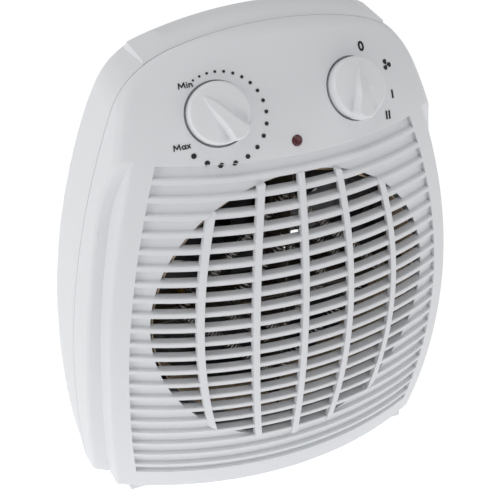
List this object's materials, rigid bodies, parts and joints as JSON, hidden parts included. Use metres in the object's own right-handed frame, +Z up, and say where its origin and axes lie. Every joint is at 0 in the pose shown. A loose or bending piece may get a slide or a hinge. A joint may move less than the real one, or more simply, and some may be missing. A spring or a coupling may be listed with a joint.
{
  "type": "fan convector heater",
  "caption": "Upright fan heater with a round louvred outlet, a thermostat knob, a mode selector knob and a pilot lens on a sloping panel.",
  "frame": {"origin": "on the floor plane under the centre of the heater's bounding box", "axes": "+Z up, -Y the front with the outlet grille and controls, +X to the right of someone facing the front"},
  "size_m": [0.194, 0.1089, 0.2408],
  "materials": {
    "casing_white": "finely grained moulded plastic",
    "knob_white": "smooth moulded plastic",
    "black_plastic": "dark moulded plastic",
    "lens_red": "translucent moulded lens",
    "lamp_glass": "clear glass",
    "mica": "pressed mica sheet",
    "nichrome": "drawn resistance wire",
    "zinc_steel": "zinc plated",
    "lamination": "stacked laminations",
    "winding": "enamelled winding under tape",
    "bronze": "sintered bushing",
    "phenolic": "moulded phenolic",
    "fan_plastic": "moulded plastic",
    "terminal_white": "moulded nylon"
  },
  "bodies": {
    "casing": {"front_cover": "casing_white", "rear_cover": "casing_white", "thermostat_body": "phenolic", "selector_body": "phenolic", "control_screws": "zinc_steel", "pilot_lens": "lens_red", "pilot_lamp": "lamp_glass", "fan_duct": "black_plastic", "mica_liner": "mica", "mica_board_upright": "mica", "mica_board_level": "mica", "heater_coil_front": "nichrome", "heater_coil_rear": "nichrome", "coil_terminals": "bronze", "thermal_cutout": "zinc_steel", "thermal_fuse": "zinc_steel", "motor_stator": "lamination", "motor_coil": "winding", "motor_bridge_front": "zinc_steel", "motor_bridge_rear": "zinc_steel", "motor_screws": "zinc_steel", "cover_screws": "zinc_steel", "duct_screws": "zinc_steel", "cord_gland": "black_plastic", "terminal_block": "terminal_white"},
    "thermostat_dial": {"thermostat_knob": "knob_white", "thermostat_shaft": "zinc_steel"},
    "selector_dial": {"selector_knob": "knob_white", "selector_shaft": "zinc_steel"},
    "fan_rotor": {"impeller": "fan_plastic", "motor_shaft": "zinc_steel", "motor_rotor": "lamination"}
  },
  "joints": [
    {"name": "thermostat_turn", "type": "hinge", "parent": "casing", "child": "thermostat_dial", "pos_m": [-0.0346, -0.0189, 0.2078], "axis": [0.1392, 0.8112, -0.568], "range_deg": [0, 264]},
    {"name": "selector_turn", "type": "hinge", "parent": "casing", "child": "selector_dial", "pos_m": [0.0346, -0.0189, 0.2078], "axis": [-0.1392, 0.8112, -0.568], "range_deg": [0, 110]},
    {"name": "fan_spin", "type": "hinge", "parent": "casing", "child": "fan_rotor", "pos_m": [0, 0.012, 0.1066], "axis": [0, 1, 0], "continuous": true}
  ]
}
